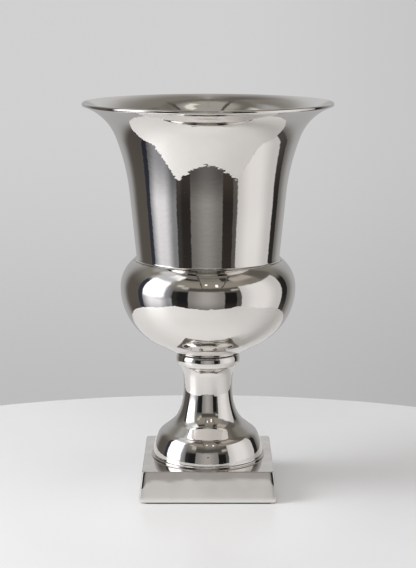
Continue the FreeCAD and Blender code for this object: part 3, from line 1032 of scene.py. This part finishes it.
def make_felt(node, place, finish):
    """Pressed felt disc in its seat, slightly slack at its edge."""
    name = node.replace("felt_pad", "felt_disc")
    rim = rounded_rim(node, FELT_EDGE)
    lower, upper = (0.0, low_mm(node).z), (0.0, high_mm(node).z)
    outline = joined(straight(lower, rim[0]), rim, straight(rim[-1], upper))
    piece = turned_piece(name, outline, finish, HARDWARE_COLUMNS, closed=False, **FELT_RIPPLE)
    piece.data.transform(Matrix.Translation(place))
    return piece


def table_rim(share):
    """Points round the table's edge at a share of its size."""
    points = []
    for step in range(TABLE_STEPS):
        angle = 2 * math.pi * step / TABLE_STEPS
        side, depth = math.cos(angle), math.sin(angle)
        power = 2 / TABLE_FRONT_POWER if depth < 0 else 1.0
        x = math.copysign(abs(side) ** power, side) * TABLE_HALF.x
        y = math.copysign(abs(depth) ** power, depth)
        x *= 1 + TABLE_FRONT_TAPER * min(y, 0.0)
        points.append(TABLE_MIDDLE + Vector((x, y * TABLE_HALF.y)) * share)
    return points


def make_table(finish):
    """Pale table top that the urn stands on."""
    levels = ((1.0, -TABLE_THICKNESS), (1.0, -TABLE_EDGE), (1 - TABLE_EDGE / TABLE_HALF.y, 0.0))
    rows = [[Vector((x, y, height)) for x, y in table_rim(share)] for share, height in levels]
    row_piece("table_top", rows, finish, scale=1.0, capped=True)


# Studio boards, each over those before it: bearings from the front, positive to the right, and heights
# in degrees, colours at the lower and upper end of the blend or one colour, softness of sides and ends
BOARD_BLEND = (-34.0, -8.0)
STUDIO_BOARDS = (
    # ceiling and what hangs from it
    ((-181, 181), (30, 91), (0.235, 0.222, 0.198), None, 7, 7),
    ((-181, 181), (64, 91), (0.185, 0.173, 0.152), None, 3, 3),
    ((-181, 181), (73, 91), (0.4, 0.385, 0.355), None, 4, 4),
    ((-50, 60), (30, 50), (0.3, 0.28, 0.245), None, 12, 6),
    ((55, 150), (77, 82), (0.9, 0.88, 0.82), None, 6, 1.5),
    ((-172, -160), (38, 66), (0.15, 0.142, 0.13), None, 3, 3),
    ((-28, 46), (22, 33), (0.09, 0.086, 0.079), None, 3, 3),
    ((-48, -18), (55, 62), (0.05, 0.047, 0.042), None, 2, 2),
    ((25, 42), (54, 66), (0.045, 0.041, 0.036), None, 1.5, 1.5),
    ((-16, 22), (48, 55), (0.29, 0.268, 0.235), None, 5, 2.5),
    ((45, 88), (49, 62), (0.48, 0.425, 0.38), None, 4, 4),
    ((90, 122), (34, 60), (0.13, 0.12, 0.105), None, 6, 6),
    ((-46, -36), (33, 39), (0.6, 0.58, 0.52), None, 2, 2),
    ((-38, -28), (28, 34), (0.52, 0.5, 0.45), None, 2, 2),
    ((32, 43), (23, 28), (0.5, 0.45, 0.4), None, 2, 2),
    ((-5, -1), (42, 47), (1.5, 1.48, 1.3), None, 0.8, 0.8),
    ((11.5, 15.5), (37, 45), (1.6, 1.58, 1.4), None, 0.8, 0.8),
    ((-82, -52), (50, 64), (1.3, 1.3, 1.3), None, 3, 3),
    ((-114, -80), (51, 65), (0.7, 0.7, 0.7), None, 4, 4),
    ((-138, -114), (45, 60), (0.42, 0.42, 0.42), None, 6, 5),
    # left side, round to the back
    ((-135, -98), (-91, 20), (0.088, 0.079, 0.071), (0.112, 0.1, 0.089), 10, 9),
    ((-100, -58), (30, 56), (0.62, 0.63, 0.66), None, 8, 9),
    ((-95, -46), (-91, -2), (0.12, 0.121, 0.126), (0.34, 0.345, 0.365), 1.2, 3),
    ((-88, -61), (-91, -2), (0.34, 0.345, 0.37), (1.08, 1.08, 1.14), 8, 3),
    ((-72, -52), (-6, 30), (0.34, 0.35, 0.39), None, 6, 6),
    ((-94, -61), (-2, 39), (2.5, 2.5, 2.55), None, 4.5, 6),
    ((-103, -94.5), (-91, 34), (0.026, 0.028, 0.04), (0.04, 0.044, 0.062), 1.2, 5),
    # front: the middle panel between two dark gaps
    ((-48, -26), (-91, 20), (0.085, 0.074, 0.066), (0.03, 0.03, 0.031), 1, 4),
    ((-41, -26), (-91, 20), (0.05, 0.043, 0.038), (0.015, 0.015, 0.016), 3, 4),
    ((-26, 22), (-91, 23), (0.09, 0.087, 0.083), (0.265, 0.255, 0.245), 0.8, 1),
    ((-14, 10), (-91, 21), (0.15, 0.146, 0.14), (0.435, 0.42, 0.404), 11, 2),
    ((22, 44.5), (-91, 20), (0.062, 0.05, 0.041), (0.013, 0.013, 0.013), 1, 4),
    ((38, 44.5), (-91, 20), (0.13, 0.12, 0.11), (0.09, 0.087, 0.083), 1, 4),
    # right side, round to the back
    ((44.5, 112.5), (-91, 34), (0.64, 0.63, 0.63), None, 0.8, 1),
    ((54, 92), (-91, 33), (0.905, 0.892, 0.892), None, 13, 2),
    ((112.5, 126), (-91, 22), (0.08, 0.074, 0.068), (0.02, 0.02, 0.02), 1.5, 5),
)

# Beams under the ceiling: place across the room, slant and half width in ceiling heights, then the
# heights in degrees where they come into sight and where they end towards the front
CEILING_BEAMS = ((-0.165, -0.038, 0.018), (0.32, 0.135, 0.020))
BEAM_SOFT = 0.012
BEAM_START = (24.0, 28.0)
BEAM_END = (-0.55, -0.15)
BEAM_SHADE = (0.095, 0.089, 0.080, 1)

# Backdrop as the metal shows it, brighter higher up behind the urn, between the dark sides of the room
SIDE_SHADE = (0.170, 0.161, 0.148, 1)
BACKDROP_BEARINGS = (126.0, 160.0)
BACKDROP_TOP = (58.0, 24.0)
BACKDROP_GLOW = (0.430, 0.430, 0.434, 1)
BACKDROP_UPPER_GLOW = (0.610, 0.608, 0.610, 1)
BACKDROP_UPPER_RISE = (6.0, 15.0)
BACKDROP_UPPER_BEARINGS = (150.0, 174.0)

# Backdrop behind the picture: its colours from low to high, and how much it dims towards the right
BACKDROP_LOW = (0.500, 0.500, 0.500, 1)
BACKDROP_HIGH = (0.638, 0.633, 0.636, 1)
BACKDROP_RISE = (-16.5, -4.0)
BACKDROP_RIGHT = (0.89, 0.89, 0.89)
BACKDROP_DIMS = (0.0, 0.16)


def studio_world():
    """Studio round the urn: boards, dark gaps, a ceiling and a pale backdrop."""
    world = bpy.data.worlds.new("studio")
    bpy.context.scene.world = world
    world.use_nodes = True
    world.node_tree.nodes.clear()
    nodes = Nodes(world.node_tree)
    right, back, up = nodes.axes(nodes.add("ShaderNodeTexCoord"))
    degree = 180 / math.pi
    bearing = right.math("ARCTAN2", back * -1) * degree
    height = up.math("ARCSINE") * degree
    aside = bearing.math("ABSOLUTE")
    behind = nodes.fade(aside, *BACKDROP_BEARINGS)
    upper = nodes.fade(height, *BACKDROP_UPPER_RISE) * nodes.fade(aside, *BACKDROP_UPPER_BEARINGS)
    backdrop_glow = nodes.mix(upper, BACKDROP_GLOW, BACKDROP_UPPER_GLOW)
    room = nodes.mix(behind, SIDE_SHADE, backdrop_glow)
    rising = nodes.fade(height, *BOARD_BLEND)
    for bearings, heights, low, high, side_soft, end_soft in STUDIO_BOARDS:
        colour = nodes.mix(rising, (*low, 1), (*high, 1)) if high else (*low, 1)
        wide = nodes.within(bearing, bearings, side_soft)
        tall = nodes.within(height, heights, end_soft)
        room = nodes.mix(wide * tall, room, colour)
    forward = back / up * -1
    overhead = nodes.fade(height, *BEAM_START) * nodes.fade(forward, *BEAM_END)
    for offset, slant, half in CEILING_BEAMS:
        away = (right / up - forward * slant - offset).math("ABSOLUTE")
        beam = nodes.fade(away, half + BEAM_SOFT, half - BEAM_SOFT)
        room = nodes.mix(beam * overhead, room, BEAM_SHADE)
    backdrop = behind * nodes.fade(height, *BACKDROP_TOP)
    room = nodes.mix(backdrop, room, backdrop_glow)
    plain = nodes.mix(nodes.fade(height, *BACKDROP_RISE), BACKDROP_LOW, BACKDROP_HIGH)
    dimmer = nodes.fade(right, *BACKDROP_DIMS)
    plain = nodes.mix(dimmer, plain, nodes.scaled(plain, BACKDROP_RIGHT))
    seen = nodes.mix(nodes.add("ShaderNodeLightPath"), room, plain)
    glow = nodes.add("ShaderNodeBackground", None, {"Color": seen, "Strength": 1.0})
    nodes.add("ShaderNodeOutputWorld", None, {"Surface": glow})


# Soft lamps: place, aim and size in metres, and power in watts
SOFT_LAMPS = (
    ("left_softbox", (-1.2, -0.30, 0.90), (0.0, 0.0, 0.1), 0.9, 13.6),
    ("overhead", (0.1, -0.4, 2.3), (0.0, -0.2, 0.0), 3.4, 22.8),
    ("front_fill", (-0.1, -2.0, 1.3), (0.0, 0.0, 0.0), 1.2, 8.0),
)


def soft_lamp(name, place, aim, size, power):
    """Square soft lamp that lights the table, with the boards left to show in the metal."""
    light = bpy.data.lights.new(name, "AREA")
    light.shape = "SQUARE"
    light.size = size
    light.energy = power
    lamp = placed(name, light)
    lamp.location = place
    lamp.rotation_euler = (Vector(aim) - Vector(place)).to_track_quat("-Z", "Y").to_euler()
    lamp.visible_glossy = False


# Camera: place in metres, tilt below level in degrees, and sensor and lens in millimetres
CAMERA_PLACE = (0.0, -1.6068, 0.50914)
CAMERA_TILT = 10.415
CAMERA_SENSOR = 36.0
CAMERA_LENS = 100.25


def make_camera():
    """Camera before the urn, above it and looking down."""
    lens = bpy.data.cameras.new("camera")
    lens.sensor_width = CAMERA_SENSOR
    lens.lens = CAMERA_LENS
    eye = placed("camera", lens)
    eye.location = CAMERA_PLACE
    eye.rotation_euler = (math.radians(90 - CAMERA_TILT), 0.0, 0.0)
    bpy.context.scene.camera = eye


TURNING = turning_tree()
polished = polished_casting()
satin = satin_casting()
zinc = zinc_plate()
rubber = black_rubber()
felt = pressed_felt()

# Castings, each with the depth and size of its own slight ripple in metres
castings = (
    ("pedestal", "pedestal_casting", pedestal_outline(), 0.0001, 0.030),
    ("collar", "collar_ring", collar_outline(), 0.00003, 0.020),
    ("bowl", "bowl_casting", bowl_outline(), 0.00012, 0.040),
    ("bell", "bell_casting", bell_outline(), 0.00014, 0.032),
)
for seed, (node, name, outline, ripple, size) in enumerate(castings):
    waves = {"Ripple": ripple, "Ripple Size": size, "Seed": float(seed)}
    settle(turned_piece(name, outline, polished, **waves), node)
settle(make_plinth(satin), "plinth")

# Seals and gasket, each with the radius of its bore in millimetres
seals = (
    ("neck_seal", "neck_seal_ring", 66.0),
    ("bowl_gasket", "bowl_gasket_ring", 14.0),
    ("rod_seal", "rod_seal_ring", 5.1),
)
for node, name, bore in seals:
    settle(turned_piece(name, ring_outline(node, bore, SEAL_EDGE), rubber), node)

# Hardware on the tie rod
thread = {
    "Columns": ROD_COLUMNS,
    "Thread Radius": high_mm("tie_rod").x * MM,
    "Thread Depth": THREAD_DEPTH * MM,
}
flats = {"Flats": NUT_FLATS * MM}
washer = ring_outline("cap_washer", ROD_HOLE_RADIUS, WASHER_EDGE)
plate = ring_outline("anchor_plate", ROD_HOLE_RADIUS, PLATE_EDGE)
plated = (
    ("tie_rod", "threaded_rod", tie_rod_outline(), False, thread),
    ("cap_nut", "domed_cap_nut", cap_nut_outline(), False, flats),
    ("bottom_nut", "hexagon_nut", bottom_nut_outline(), True, flats),
    ("cap_washer", "cap_washer_ring", washer, True, {}),
    ("anchor_plate", "anchor_disc", plate, True, {}),
)
for node, name, outline, closed, extra in plated:
    piece = turned_piece(name, outline, zinc, HARDWARE_COLUMNS, closed, **extra)
    settle(piece, node)

# Felt pads, and the lock washer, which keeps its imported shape
for node, place in list(pad_places()):
    settle(make_felt(node, place, felt), node)
lock_washer = bpy.data.objects["lock_washer"]
lock_washer.data.materials.clear()
lock_washer.data.materials.append(zinc)

make_table(white_lacquer())
studio_world()
for lamp in SOFT_LAMPS:
    soft_lamp(*lamp)
make_camera()

bpy.context.scene.view_settings.view_transform = "Standard"
